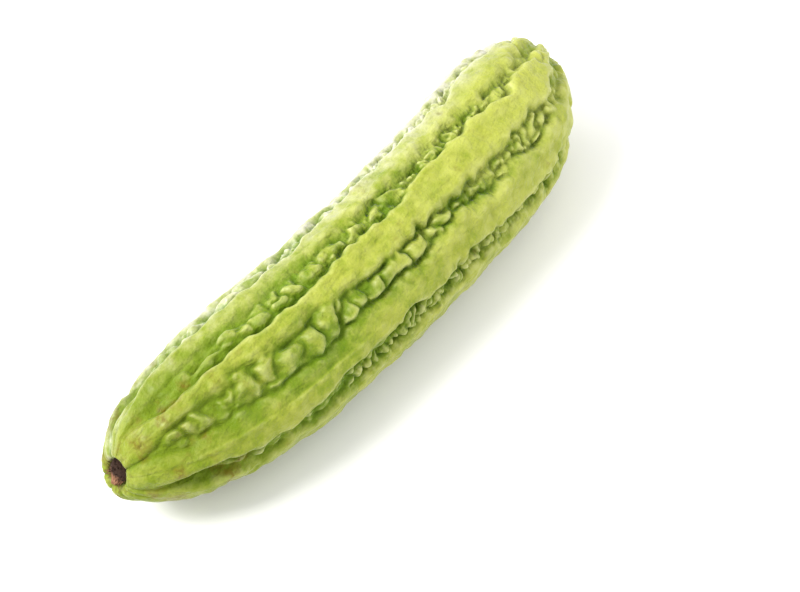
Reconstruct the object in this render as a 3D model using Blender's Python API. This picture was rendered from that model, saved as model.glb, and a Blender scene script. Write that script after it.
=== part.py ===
"""A bitter melon as picked, lying on its side: one ribbed, warty fruit and the dry scar of its stalk.

The fruit's axis lies along +X, stem end at -X, and bends towards +Y at both ends. It rests on two
neighbouring ribs at z = 0. Its skin is a sphere whose points a node tree moves to a ribbed body:
broad ribs run from end to end, and the valleys between them are packed with lobes and warts.
All sizes are in metres and all angles in degrees.
"""

import math

import bmesh
import bpy
from mathutils import Matrix, Vector

# The body without its ribs, and how its axis bends and stands
LENGTH = 0.254
CORE_RADIUS = 0.0251
REST_HEIGHT = 0.0282
STEM_TAPER = 0.075
STEM_FULLNESS = 0.86
BLOSSOM_TAPER = 0.055
BLOSSOM_FULLNESS = 1.07
BEND = 20.0
TIP_LEAN = 0.0084
LEAN_START = 0.70
STEM_RISE = 0.0030
RISE_END = 0.18
CENTRE = (0.0023, -0.0029)

# The eight ribs, by angle round the fruit from the first, which lies FIRST_RIB from the top
RIB_ANGLES = (0.0, 40.0, 82.0, 126.0, 171.0, 217.0, 266.0, 314.0)
FIRST_RIB = -14.0
TWIST = 9.0
TWIST_START = 0.58
RIB_HEIGHTS = (0.0051, 0.0051, 0.0047, 0.0049, 0.0051, 0.0051, 0.0047, 0.0051)

# Half widths of the ribs, as shares of the pitch between ribs: near the stem and further on
FORE_WIDTHS = (0.21, 0.40, 0.24, 0.28, 0.30, 0.31, 0.30, 0.38)
REAR_WIDTHS = (0.27, 0.26, 0.24, 0.28, 0.30, 0.31, 0.38, 0.26)
BLOSSOM_WIDTHS = (0.36, 0.38, 0.33, 0.32, 0.34, 0.33, 0.37, 0.34)

# Widths of the slopes on either side of each rib: a low one is a crisp rim, a high one a long flank
FORE_SLOPES = (0.0040, 0.0085, 0.0030, 0.0060, 0.0028, 0.0050, 0.0060, 0.0030)
REAR_SLOPES = (0.0026, 0.0030, 0.0055, 0.0030, 0.0050, 0.0030, 0.0028, 0.0085)

# The share of a rib's height that its edge rises at once, as a crisp step
FORE_STEPS = (0.55, 0.12, 0.50, 0.30, 0.55, 0.30, 0.30, 0.50)
REAR_STEPS = (0.66, 0.50, 0.25, 0.50, 0.30, 0.50, 0.60, 0.42)

# The width of that step, and the ribs' roots: full bulges by this share of the body's radius
RIM_WIDTH = 0.0018
GUTTER_WIDTH = 0.0016
GUTTER_DEPTH = 0.0022
ROOT_START = 0.0030
ROOT_END = 0.0270
ROOT_HEIGHT = 0.19
ROOT_CREASES = (0.1, 1.0, 0.5, 1.0, 0.8, 0.9, 0.45, 1.0)
PLEATING = (0.45, 1.0, 1.4, 1.0, 0.8, 1.0, 1.5, 0.55)

# Towards the blossom end the ribs widen and grow alike, and at the very end they flatten
WIDENING = (0.30, 0.55)
EVEN_CREASE = 0.70
EVEN_STEP = 0.84
LEAST_SLOPE = 0.0030
CALM_RIMS = 0.55
RIB_FADE = (0.10, 0.70)
ROOT_RIM = 0.40
END_FLATTENING = 0.35
DIP = 0.0006

# How deep a crease parts the lobes from each rib: 0 where they are grown together
CREASE_WIDTH = 0.0018
FORE_CREASES = (0.60, 0.3, 0.9, 0.2, 0.8, 0.1, 0.9, 0.8)
REAR_CREASES = (0.9, 0.8, 0.1, 0.9, 0.2, 0.9, 0.3, 0.9)

# The lobes and warts in the valley after each rib: sizes along the fruit and across the valley
LOBE_LENGTHS = (0.0095, 0.0100, 0.0095, 0.0105, 0.0095, 0.0110, 0.0060, 0.0092)
LOBE_WIDTHS = (0.0080, 0.0100, 0.0110, 0.0100, 0.0110, 0.0100, 0.0070, 0.0120)
LOBE_RISES = (0.86, 0.90, 0.85, 0.8, 0.55, 0.8, 0.90, 0.92)
LOBE_SIDES = (0.0004, 0.0, 0.0, 0.0, 0.0, 0.0, 0.0, 0.0024)
LOBE_STARTS = (0.06, 0.10, 0.12, 0.12, 0.14, 0.10, 0.10, 0.02)
LOBE_ONSETS = (0.18, 0.06, 0.06, 0.06, 0.06, 0.06, 0.06, 0.06)
LOBE_JITTER = 0.80
LOBE_FOOT = 0.10
LOBES_END = 0.86
LOBE_CLEARANCE = 0.16
SIDE_FADE = (0.25, 0.40)
VALLEY_FADE = (0.010, 0.018)
ROW_REACH = 0.60
ROW_FULLNESS = 0.45
WART_LENGTHS = (0.0033, 0.0050, 0.0048, 0.0052, 0.0046, 0.0050, 0.0040, 0.0046)
WART_WIDTHS = (0.0062, 0.0054, 0.0056, 0.0052, 0.0056, 0.0050, 0.0040, 0.0056)
WART_STARTS = (0.52, 0.50, 0.60, 0.50, 0.60, 0.50, 0.30, 0.72)
WART_ONSET = 0.20
LEAST_WART = 0.45

# How a lump is rounded and parted from its neighbours, as shares of its cell and of its height
CROWN_REACHES = (0.28, 0.52)
CROWN_FULLNESS = 0.60
LOWEST_LUMP = 0.76
GROOVE_REACH = 0.13
GROOVE_SHARE = 0.56
GROOVE_MEAN = 0.85

# Fine folds across the lobes, long pleats near the stem and wrinkles near the blossom end
FOLD_SIZE = 0.0022
FOLD_HEIGHT = 0.0010
LEAST_FOLD = 0.3
PLEAT_FADE = (0.010, 0.070)
PLEAT_SPACING = 0.0090
PLEAT_STRETCH = 0.16
PLEAT_REACH = 0.050
WRINKLE_FADE = (0.040, 0.018)
WRINKLE_SPACING = 0.0105
WRINKLE_REACH = 0.060
FOLDS_FROM = 0.016

# How far neighbouring forms melt into one another
LUMP_MERGE = 0.0006
RIB_MERGE = 0.0009

# Layers of unevenness, each by the size of its features and how far it swings
WANDER = ((0.060, 0.30), (0.022, 0.12))
RIB_SWELLS = ((0.035, 0.0020), (0.011, 0.0012))
SCALLOPS = ((0.018, 0.0070), (0.0085, 0.0086), (0.0040, 0.0022))
ROW_WOBBLE = ((0.011, 0.0080), (0.0060, 0.0066))
ROW_RIPPLE = ((0.012, 0.0090), (0.0058, 0.0080))
ROW_STRETCH = ((0.030, 0.0300),)
PARTING = ((0.020, 1.2), (0.0058, 3.4))
GROOVE_DEPTHS = ((0.0065, 4.0),)
WART_PATCHES = ((0.030, 3.0),)
DIPS = ((0.030, 0.0016),)
DENTS = ((0.014, 0.0016), (0.0070, 0.0014), (0.0034, 0.0011))

# How high the lobes and warts stand, and how deep the folds at either end run
LOBE_HEIGHT = 0.0056
WART_HEIGHT = 0.0044
PLEAT_DEPTH = 0.0010
WRINKLE_DEPTH = 0.0014
SOFTENING = 3
FLAT_LIMIT = 0.00005

# The socket of the stalk at the stem end
SHOULDER_RADIUS = 0.0095
SOCKET_RIM = 0.0022
SOCKET_FLOOR = 0.0024
FACE_TURN = 0.05
FACE_LIFT = 0.42
FACE_FADE = (0.006, 0.016)
SHOULDER = 0.0011
SOCKET_RADIUS = 0.0046

# The dry scar of the stalk that sits in the socket
SCAR_RADIUS = 0.0037
SCAR_THICKNESS = 0.0030
SCAR_GAP = 0.0004

RIBS = len(RIB_ANGLES)


class Field:
    """A value that varies over the skin. Arithmetic on it adds Math nodes to its node tree."""

    def __init__(self, socket):
        self.socket = socket

    def node(self, kind, settings, inputs, output=0):
        """One output of a new node, whose settings are set first and then its sockets' values or links."""
        return add_node(self.socket.id_data, kind, settings, inputs, output)

    def output(self, name):
        """Another output of the same node."""
        return Field(self.socket.node.outputs[name])

    def math(self, operation, *others):
        inputs = dict(enumerate((self, *others)))
        return self.node("ShaderNodeMath", {"operation": operation}, inputs)

    def __add__(self, other):
        return self.math("ADD", other)

    def __sub__(self, other):
        return self.math("SUBTRACT", other)

    def __mul__(self, other):
        return self.math("MULTIPLY", other)

    def __truediv__(self, other):
        return self.math("DIVIDE", other)

    def __pow__(self, other):
        return self.math("POWER", other)

    def __rsub__(self, other):
        return self.math("MULTIPLY_ADD", -1.0, other)

    def __rtruediv__(self, other):
        return self.math("POWER", -1.0) * other

    def __neg__(self):
        return self.math("MULTIPLY", -1.0)

    def __abs__(self):
        return self.math("ABSOLUTE")

    __radd__ = __add__
    __rmul__ = __mul__

    def sin(self):
        return self.math("SINE")

    def cos(self):
        return self.math("COSINE")

    def root(self):
        return self.math("SQRT")

    def at_least(self, other):
        return self.math("MAXIMUM", other)

    def at_most(self, other):
        return self.math("MINIMUM", other)

    def share(self):
        """Held between 0 and 1."""
        return self.at_least(0.0).at_most(1.0)

    def eased(self):
        """A smooth step from 0 to 1."""
        x = self.share()
        return x * x * (3.0 - 2.0 * x)

    def dome(self):
        """A quarter round: upright at 0 and level from 1 on."""
        rest = 1.0 - self.share()
        return (1.0 - rest * rest).root()


def add_node(tree, kind, settings, inputs, output=0):
    node = tree.nodes.new(kind)
    for name, value in settings.items():
        setattr(node, name, value)
    for name, value in inputs.items():
        if isinstance(value, Field):
            tree.links.new(value.socket, node.inputs[name])
        else:
            node.inputs[name].default_value = value
    return Field(node.outputs[output])


def vector(x, y, z=0.0):
    return x.node("ShaderNodeCombineXYZ", {}, {"X": x, "Y": y, "Z": z})


def noise(place, size, detail=1.0):
    """Smooth random values about 0, between about -0.5 and 0.5, with features of this size."""
    settings = {"Vector": place, "Scale": 1.0 / size, "Detail": detail}
    return place.node("ShaderNodeTexNoise", {}, settings) - 0.5


def waves(place, layers):
    """The sum of layers of noise, each given by the size of its features and how far it swings."""
    swings = [noise(place, size) * swing for size, swing in layers]
    return sum(swings[1:], swings[0])


def pick(index, values):
    """The value with this number in the list."""
    tree = index.socket.id_data
    node = tree.nodes.new("GeometryNodeIndexSwitch")
    node.data_type = "FLOAT"
    while len(node.index_switch_items) < len(values):
        node.index_switch_items.new()
    tree.links.new(index.socket, node.inputs["Index"])
    for entry, value in zip(node.inputs[1:], values):
        entry.default_value = value
    return Field(node.outputs[0])


def blend(low, high, share):
    return share * (high - low) + low


def ramp(value, start, end):
    """A smooth step from 0 at the start to 1 at the end."""
    return ((value - start) / (end - start)).eased()


def rib_phase(around):
    """Ribs passed since the first one, 0 to 8, at an angle of so many radians round from it."""
    turn = around / math.tau
    turn = turn - turn.math("FLOOR")
    node = turn.node("ShaderNodeFloatCurve", {}, {"Value": turn})
    mapping = node.socket.node.mapping
    for number, angle in enumerate(RIB_ANGLES[1:], start=1):
        mapping.curves[0].points.new(angle / 360.0, number / RIBS)
    mapping.update()
    return node * RIBS


def straight_body(along):
    """Distance along the axis, radius without ribs and the meridian's normal, for a share of the way."""
    stem_share = 0.28
    blossom_share = 0.22
    stem = (along / stem_share).share() * (math.pi / 2)
    blossom = ((1.0 - along) / blossom_share).share() * (math.pi / 2)
    middle = ((along - stem_share) / (1.0 - stem_share - blossom_share)).share()
    straight = LENGTH - (STEM_TAPER + BLOSSOM_TAPER)
    distance = (
        (1.0 - stem.cos()) * STEM_TAPER + middle * straight + blossom.cos() * BLOSSOM_TAPER
    )
    radius = stem.sin() ** STEM_FULLNESS * blossom.sin() ** BLOSSOM_FULLNESS * CORE_RADIUS
    roundness = stem.sin() * blossom.sin()
    slope = (blossom.cos() / BLOSSOM_TAPER - stem.cos() / STEM_TAPER) * CORE_RADIUS
    steep = (slope * slope + roundness * roundness).root().at_least(1e-6)
    return distance, radius, slope / steep, roundness / steep


def lumps(along, across, row, jitter, depth):
    """Rounded lumps, one to a cell, partly grown together: their share of the full height."""
    place = vector(along, across + (row + jitter / 2.0))
    inputs = {"Vector": place, "Scale": 1.0, "Randomness": jitter}
    cell = place.node("ShaderNodeTexVoronoi", {"voronoi_dimensions": "2D"}, inputs)
    settings = {"voronoi_dimensions": "2D", "feature": "DISTANCE_TO_EDGE"}
    edge = (place.node("ShaderNodeTexVoronoi", settings, inputs) / GROOVE_REACH).share()
    chance = place.node("FunctionNodeSeparateColor", {}, {"Color": cell.output("Color")})
    reach = blend(*CROWN_REACHES, chance.output("Green"))
    crown = (1.0 - cell * cell / reach).at_least(0.0) ** CROWN_FULLNESS
    groove = 1.0 - edge * (2.0 - edge)
    return blend(LOWEST_LUMP, 1.0, chance) * crown * (1.0 - groove * depth * GROOVE_SHARE)


def lobe_relief(place, phase, distance, pitch):
    """Height of the large lobes and small warts that fill the valleys."""
    valley = phase.math("FLOOR").math("MODULO", RIBS)
    progress = distance / LENGTH
    near_stem = 1.0 - ramp(progress, *SIDE_FADE)
    across = (phase - phase.math("FLOOR") - 0.5) * pitch - pick(valley, LOBE_SIDES) * near_stem
    across = across + waves(place, ROW_WOBBLE)
    rippled = distance + waves(place, ROW_RIPPLE)
    along = rippled + waves(place, ROW_STRETCH)
    depth = (waves(place, GROOVE_DEPTHS) + GROOVE_MEAN).share()
    wide = pick(valley, LOBE_WIDTHS)
    row = valley * 20.0
    lobes = lumps(along / pick(valley, LOBE_LENGTHS), across / wide, row, LOBE_JITTER, depth)
    warts = lumps(
        rippled / pick(valley, WART_LENGTHS), across / pick(valley, WART_WIDTHS), row + 7.0, 1.0, depth
    )
    bias = waves(place, WART_PATCHES) + (progress - pick(valley, WART_STARTS)) / WART_ONSET
    wartiness = (bias + 0.5).eased()
    onset = ((progress - pick(valley, LOBE_STARTS)) / pick(valley, LOBE_ONSETS)).eased()
    off_row = across / (wide * ROW_REACH)
    within = (1.0 - off_row * off_row).at_least(0.0) ** ROW_FULLNESS
    rise = pick(valley, LOBE_RISES)
    lobes = blend(LOBE_FOOT, 1.0, lobes) * within * rise * LOBE_HEIGHT * (1.0 - wartiness)
    warts = warts * rise * WART_HEIGHT * blend(LEAST_WART, 1.0, wartiness)
    folds = abs(noise(vector(distance, across * 0.25, valley * 3.0), FOLD_SIZE)) * 4.0
    folds = folds.at_most(1.0) * FOLD_HEIGHT * blend(LEAST_FOLD, 1.0, wartiness)
    return (lobes.math("SMOOTH_MAX", warts, LUMP_MERGE) + folds) * onset


def rib_relief(place, phase, distance, radius):
    """Height of the ribs, bulging like a pumpkin's at the stalk, and how far lobes are parted from them."""
    pitch = radius * (math.tau / RIBS)
    girth = (radius / CORE_RADIUS).share()
    rooted = 1.0 - ramp(distance, ROOT_START, ROOT_END)
    progress = distance / LENGTH
    nearest = (phase + 0.5).math("FLOOR")
    rib = nearest.math("MODULO", RIBS)
    behind = phase.math("GREATER_THAN", nearest)
    widened = ramp(progress, *WIDENING)
    half = blend(pick(rib, FORE_WIDTHS), pick(rib, REAR_WIDTHS), behind)
    half = blend(half, pick(rib, BLOSSOM_WIDTHS), widened)
    half = blend(half, 0.5, rooted)
    scallops = waves(place, SCALLOPS) * girth * (1.0 - rooted) * blend(CALM_RIMS, 1.0, widened)
    inside = (half - abs(phase - nearest)) * pitch + scallops
    slope = blend(pick(rib, FORE_SLOPES), pick(rib, REAR_SLOPES), behind)
    slope = blend(slope, (slope * 0.5).at_least(LEAST_SLOPE), widened)
    crisp_side = blend(pick(rib, FORE_CREASES), pick(rib, REAR_CREASES), behind)
    crisp_side = blend(crisp_side, (crisp_side + EVEN_CREASE) * 0.5, widened)
    step = (inside / blend(RIM_WIDTH, pitch * ROOT_RIM, rooted).at_least(1e-5)).dome()
    flank = (inside / (slope * girth).at_least(1e-5)).eased()
    dip = (inside / (half * pitch).at_least(1e-5)).share()
    dip = dip * dip * (waves(place, DIPS) + DIP).at_least(0.0) * girth
    height = pick(rib, RIB_HEIGHTS) + waves(place, RIB_SWELLS)
    edge = blend(pick(rib, FORE_STEPS), pick(rib, REAR_STEPS), behind)
    edge = blend(edge, (edge + EVEN_STEP) * 0.5, widened)
    profile = blend(edge, 1.0, flank)
    flattened = 1.0 - END_FLATTENING * ramp(progress, LOBES_END, LOBES_END + 0.10)
    height = height * profile * ramp(girth, *RIB_FADE) * flattened
    off_gutter = (inside + GUTTER_WIDTH) / GUTTER_WIDTH
    parted = (crisp_side - 0.25 + waves(place, PARTING)).share()
    gutter = (1.0 - off_gutter * off_gutter).at_least(0.0) * (crisp_side * 0.5 + parted * 0.7)
    gutter = gutter * (1.0 - rooted) * girth * GUTTER_DEPTH
    valley = phase.math("FLOOR").math("MODULO", RIBS)
    bulge = 1.0 - (1.0 - step) * pick(valley, ROOT_CREASES)
    crease = 1.0 - parted * (1.0 - (-inside / CREASE_WIDTH).eased())
    return blend(height * step - dip - gutter, radius * ROOT_HEIGHT * bulge, rooted), crease


def end_folds(distance, radius, around, phase):
    """Depth, below 0, of the long pleats near the stem and of the wrinkles near the blossom end."""
    y = around.cos()
    z = around.sin()
    core = CORE_RADIUS
    near_stem = 1.0 - ramp(distance, *PLEAT_FADE)
    pleat = abs(noise(vector(distance * PLEAT_STRETCH, y * core, z * core), PLEAT_SPACING)) / PLEAT_REACH
    near_blossom = ramp(LENGTH - distance, *WRINKLE_FADE)
    wrinkle = abs(noise(vector(distance, y * radius, z * radius), WRINKLE_SPACING)) / WRINKLE_REACH
    pleated = pick((phase + 0.5).math("FLOOR").math("MODULO", RIBS), PLEATING)
    pleats = (1.0 - pleat.share()) * near_stem * pleated * PLEAT_DEPTH
    wrinkles = (1.0 - wrinkle.share()) * near_blossom * WRINKLE_DEPTH
    return -(pleats + wrinkles) * (radius / FOLDS_FROM).share()


def skin_relief(around, distance, radius):
    """Height of the ribs and warts over the body, at an angle round it and a distance along it."""
    place = vector(distance, radius * around.cos(), radius * around.sin())
    progress = distance / LENGTH
    twist = ramp(progress, TWIST_START, 1.0)
    phase = rib_phase(around + waves(place, WANDER) + twist * math.radians(TWIST))
    pitch = radius * (math.tau / RIBS)
    girth = (radius / CORE_RADIUS).share()
    ribs, crease = rib_relief(place, phase, distance, radius)
    ending = 1.0 - 0.90 * ramp(progress, LOBES_END, LOBES_END + 0.07)
    fade = ramp(radius, *VALLEY_FADE) * ending
    off_crest = abs(phase - (phase + 0.5).math("FLOOR"))
    lobes = lobe_relief(place, phase, distance, pitch) * fade * crease * ramp(off_crest, 0.0, LOBE_CLEARANCE)
    relief = ribs.math("SMOOTH_MAX", lobes, RIB_MERGE) + waves(place, DENTS) * girth
    return relief + end_folds(distance, radius, around, phase)


def on_bent_axis(distance, out, around):
    """The point of the bent fruit at a distance along its axis and a distance out from it."""
    bend_radius = LENGTH / math.radians(BEND)
    heading = (distance - LENGTH / 2) / bend_radius
    lean = ((distance / LENGTH - LEAN_START) / (1.0 - LEAN_START)).at_least(0.0)
    side = out * around.sin() + lean * lean * TIP_LEAN
    rise = (1.0 - distance / (RISE_END * LENGTH)).at_least(0.0)
    height = out * around.cos() + rise * rise * STEM_RISE + REST_HEIGHT
    x = heading.sin() * bend_radius - side * heading.sin() + CENTRE[0]
    y = (1.0 - heading.cos()) * bend_radius + side * heading.cos() + CENTRE[1]
    return vector(x, y, height.at_least(0.0))


def new_tree(name):
    """An empty node tree that takes and returns geometry, and what it takes."""
    tree = bpy.data.node_groups.new(name, "GeometryNodeTree")
    tree.interface.new_socket("Geometry", in_out="INPUT", socket_type="NodeSocketGeometry")
    tree.interface.new_socket("Geometry", in_out="OUTPUT", socket_type="NodeSocketGeometry")
    return tree, add_node(tree, "NodeGroupInput", {}, {})


def end_tree(tree, geometry):
    result = tree.nodes.new("NodeGroupOutput")
    tree.links.new(geometry.socket, result.inputs["Geometry"])
    return tree


def skin_tree():
    """The node tree that moves a unit sphere's points to the fruit's skin."""
    tree, ball = new_tree("ribbed_skin")
    position = add_node(tree, "GeometryNodeInputPosition", {}, {})
    x = position.node("ShaderNodeSeparateXYZ", {}, {0: position})
    along = (-x.output("Z")).at_least(-1.0).at_most(1.0).math("ARCCOSINE") / math.pi
    around = (-x.output("Y")).math("ARCTAN2", x)
    distance, radius, forward, outward = straight_body(along)
    relief = skin_relief(around - math.radians(FIRST_RIB), distance, radius)
    at_stem = along.math("LESS_THAN", 0.5)
    rim = ((radius - SOCKET_RADIUS) / SOCKET_RIM).dome()
    relief = relief * (1.0 - at_stem * (1.0 - rim))
    relief = relief.node("GeometryNodeBlurAttribute", {}, {"Value": relief, "Iterations": SOFTENING})
    off_ring = (radius - SHOULDER_RADIUS) / (SHOULDER_RADIUS * 0.75)
    shoulder = (1.0 - off_ring * off_ring).share() * at_stem * SHOULDER
    level = distance - shoulder
    floor = level + (SOCKET_FLOOR - level) * (1.0 - rim) * at_stem
    tilt = (around.sin() * FACE_TURN + around.cos() * FACE_LIFT) * radius
    tilt = tilt * (1.0 - ramp(radius, *FACE_FADE)) * at_stem
    place = on_bent_axis(floor + tilt + relief * forward, radius + relief * outward, around)
    skin = ball.node("GeometryNodeSetPosition", {}, {"Geometry": ball, "Position": place})
    return end_tree(tree, skin)


def level_tree():
    """The node tree that makes the flats exact on which the fruit lies."""
    tree, solid = new_tree("level_underside")
    position = add_node(tree, "GeometryNodeInputPosition", {}, {})
    x = position.node("ShaderNodeSeparateXYZ", {}, {0: position})
    z = x.output("Z")
    place = vector(x, x.output("Y"), z * z.math("GREATER_THAN", FLAT_LIMIT))
    return end_tree(tree, solid.node("GeometryNodeSetPosition", {}, {"Geometry": solid, "Position": place}))


def principled(name, colour, roughness):
    material = bpy.data.materials.new(name)
    material.use_nodes = True
    shader = material.node_tree.nodes["Principled BSDF"]
    shader.inputs["Base Color"].default_value = (*colour, 1.0)
    shader.inputs["Roughness"].default_value = roughness
    return material


def add_fruit(collection, material, segments=200, rings=280, triangles=11_600):
    """The whole fruit: a sphere, moved to its shape by the node tree, then thinned."""
    ball = bmesh.new()
    bmesh.ops.create_uvsphere(ball, u_segments=segments, v_segments=rings, radius=1.0)
    mesh = bpy.data.meshes.new("fruit")
    ball.to_mesh(mesh)
    ball.free()
    mesh.shade_smooth()
    mesh.materials.append(material)
    fruit = bpy.data.objects.new("fruit", mesh)
    collection.objects.link(fruit)
    fruit.modifiers.new("ribbed_skin", "NODES").node_group = skin_tree()
    thin = fruit.modifiers.new("thin", "DECIMATE")
    thin.ratio = triangles / (2.0 * segments * (rings - 1))
    fruit.modifiers.new("level_underside", "NODES").node_group = level_tree()
    return fruit


def scar_frame():
    """The place and turn of the scar: its own -X looks out of the fruit."""
    bend_radius = LENGTH / math.radians(BEND)
    depth = SOCKET_FLOOR - SCAR_GAP - SCAR_THICKNESS / 2
    heading = (depth - LENGTH / 2) / bend_radius
    place = Vector((
        math.sin(heading) * bend_radius + CENTRE[0],
        (1.0 - math.cos(heading)) * bend_radius + CENTRE[1],
        REST_HEIGHT + STEM_RISE,
    ))
    outwards = Vector((-1.0, FACE_TURN, FACE_LIFT)).normalized()
    turn = Matrix.Rotation(heading, 4, "Z") @ outwards.to_track_quat("-X", "Z").to_matrix().to_4x4()
    return Matrix.Translation(place) @ turn


def add_scar(collection, material, segments=28, rings=12):
    """The dry end of the stalk: a thin, fibrous plug with a hollow face, seated in the socket."""
    plug = bmesh.new()
    bmesh.ops.create_uvsphere(plug, u_segments=segments, v_segments=rings, radius=1.0)
    for vertex in plug.verts:
        x, y, z = vertex.co
        around = math.atan2(y, x)
        reach = math.hypot(x, y)
        fibres = 1.0 + 0.07 * math.sin(5 * around + 0.6) + 0.05 * math.sin(9 * around)
        hollow = 0.45 * max(0.0, 1.0 - reach / 0.7) * max(z, 0.0)
        deep = math.copysign(abs(z) ** 0.5, z) - hollow
        vertex.co.x = -deep * SCAR_THICKNESS / 2
        vertex.co.y = x * fibres * SCAR_RADIUS
        vertex.co.z = -y * fibres * SCAR_RADIUS
    plug.transform(scar_frame())
    mesh = bpy.data.meshes.new("stalk_scar")
    plug.to_mesh(mesh)
    plug.free()
    mesh.shade_smooth()
    mesh.materials.append(material)
    scar = bpy.data.objects.new("stalk_scar", mesh)
    collection.objects.link(scar)
    return scar


def main():
    for old in list(bpy.data.objects):
        bpy.data.objects.remove(old)
    collection = bpy.data.collections.new("bitter_melon")
    bpy.context.scene.collection.children.link(collection)
    add_fruit(collection, principled("green_skin", (0.42, 0.55, 0.12), 0.45))
    add_scar(collection, principled("dry_stalk", (0.12, 0.06, 0.03), 0.85))


if __name__ == "__main__":
    main()
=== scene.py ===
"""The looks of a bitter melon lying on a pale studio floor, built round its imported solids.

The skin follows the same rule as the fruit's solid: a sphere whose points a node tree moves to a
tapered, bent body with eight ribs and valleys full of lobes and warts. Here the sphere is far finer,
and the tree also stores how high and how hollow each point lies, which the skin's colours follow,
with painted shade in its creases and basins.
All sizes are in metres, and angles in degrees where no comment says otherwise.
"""

import math

import bpy
import numpy as np
from mathutils import Matrix, Vector


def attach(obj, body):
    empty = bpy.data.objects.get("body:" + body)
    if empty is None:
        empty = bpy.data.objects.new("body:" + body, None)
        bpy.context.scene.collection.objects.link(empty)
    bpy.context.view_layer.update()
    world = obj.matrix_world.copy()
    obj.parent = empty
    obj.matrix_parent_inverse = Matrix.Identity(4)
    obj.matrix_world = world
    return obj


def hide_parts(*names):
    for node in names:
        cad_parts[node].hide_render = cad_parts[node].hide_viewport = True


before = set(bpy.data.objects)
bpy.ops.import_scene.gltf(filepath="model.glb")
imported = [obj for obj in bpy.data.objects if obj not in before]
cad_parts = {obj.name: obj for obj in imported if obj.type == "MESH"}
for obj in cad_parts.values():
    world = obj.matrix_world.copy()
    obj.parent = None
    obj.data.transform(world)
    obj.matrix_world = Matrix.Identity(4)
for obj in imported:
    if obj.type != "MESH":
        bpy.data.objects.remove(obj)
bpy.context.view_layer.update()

# Named inputs of the skin's node tree
SKIN_SIZES = {
    "Length": 0.254,
    "Core Radius": 0.0251,
    "Rest Height": 0.0282,
    "Lobe Height": 0.0056,
    "Wart Height": 0.0044,
    "Pleat Depth": 0.0010,
    "Wrinkle Depth": 0.0014,
    "Shoulder": 0.0011,
    "Socket Radius": 0.0046,
    "Segments": 480,
    "Rings": 700,
}
SKIN_TRIANGLES = 190_000

# Named inputs of the stalk scar's node tree
STALK_SIZES = {
    "Plug Radius": 0.0046,
    "Plug Depth": 0.0019,
    "Tongue": 0.0016,
    "Fibres": 90,
    "Fibre Length": 0.0026,
    "Fibre Radius": 0.00022,
}

# The body without its ribs: how it tapers over the first and last shares of its meridian
STEM_SHARE = 0.28
BLOSSOM_SHARE = 0.22
STEM_TAPER = 0.075
STEM_FULLNESS = 0.86
BLOSSOM_TAPER = 0.055
BLOSSOM_FULLNESS = 1.07

# How its axis bends and stands
BEND = 20.0
TIP_LEAN = 0.0084
LEAN_START = 0.70
STEM_RISE = 0.0030
RISE_END = 0.18
CENTRE = (0.0023, -0.0029)

# The eight ribs, by angle round the fruit from the first, which lies FIRST_RIB from the top, and how
# far they twist from TWIST_START of the length on
RIB_ANGLES = (0.0, 40.0, 82.0, 126.0, 171.0, 217.0, 266.0, 314.0)
FIRST_RIB = -14.0
TWIST = 9.0
TWIST_START = 0.58
RIB_HEIGHTS = (0.0051, 0.0051, 0.0047, 0.0049, 0.0051, 0.0051, 0.0047, 0.0051)

# Half widths of the ribs, as shares of the pitch between ribs: on the fore and the rear side of each,
# and on both sides towards the blossom end
FORE_WIDTHS = (0.21, 0.40, 0.24, 0.28, 0.30, 0.31, 0.30, 0.38)
REAR_WIDTHS = (0.27, 0.26, 0.24, 0.28, 0.30, 0.31, 0.38, 0.26)
BLOSSOM_WIDTHS = (0.36, 0.38, 0.33, 0.32, 0.34, 0.33, 0.37, 0.34)

# Widths of the slopes on either side of each rib: a low one is a crisp rim, a high one a long flank
FORE_SLOPES = (0.0040, 0.0085, 0.0030, 0.0060, 0.0028, 0.0050, 0.0060, 0.0030)
REAR_SLOPES = (0.0026, 0.0030, 0.0055, 0.0030, 0.0050, 0.0030, 0.0028, 0.0085)

# The share of a rib's height that its edge rises at once, as a crisp step
FORE_STEPS = (0.55, 0.12, 0.50, 0.30, 0.55, 0.30, 0.30, 0.50)
REAR_STEPS = (0.66, 0.50, 0.25, 0.50, 0.30, 0.50, 0.60, 0.42)

# The width of that step, and the gutter along its foot, deepest where lobes are parted from the rib
RIM_WIDTH = 0.0018
GUTTER_WIDTH = 0.0016
GUTTER_DEPTH = 0.0022
GUTTER_SHARE = 0.5
PARTED_SHARE = 0.7

# The ribs' roots, over these distances from the stalk: full bulges, whose height is a share of the
# radius and whose rim is a share of the pitch, with creases between them
ROOT_START = 0.0030
ROOT_END = 0.0270
ROOT_HEIGHT = 0.19
ROOT_RIM = 0.40
ROOT_CREASES = (0.1, 1.0, 0.5, 1.0, 0.8, 0.9, 0.45, 1.0)

# Towards the blossom end the ribs widen, grow alike and wave more, and at the very end they flatten
WIDENING = (0.30, 0.55)
EVEN_CREASE = 0.70
EVEN_STEP = 0.84
LEAST_SLOPE = 0.0030
CALM_RIMS = 0.55
END_FLATTENING = 0.35
FLATTENING_LENGTH = 0.10

# How thick the body is where ribs begin and are full, as shares of its core, and how far their tops dip
RIB_FADE = (0.10, 0.70)
DIP = 0.0006

# How deep a crease parts the lobes from each rib: 0 where they are grown together
CREASE_WIDTH = 0.0018
PARTING_LEVEL = 0.25
FORE_CREASES = (0.60, 0.3, 0.9, 0.2, 0.8, 0.1, 0.9, 0.8)
REAR_CREASES = (0.9, 0.8, 0.1, 0.9, 0.2, 0.9, 0.3, 0.9)

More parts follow.
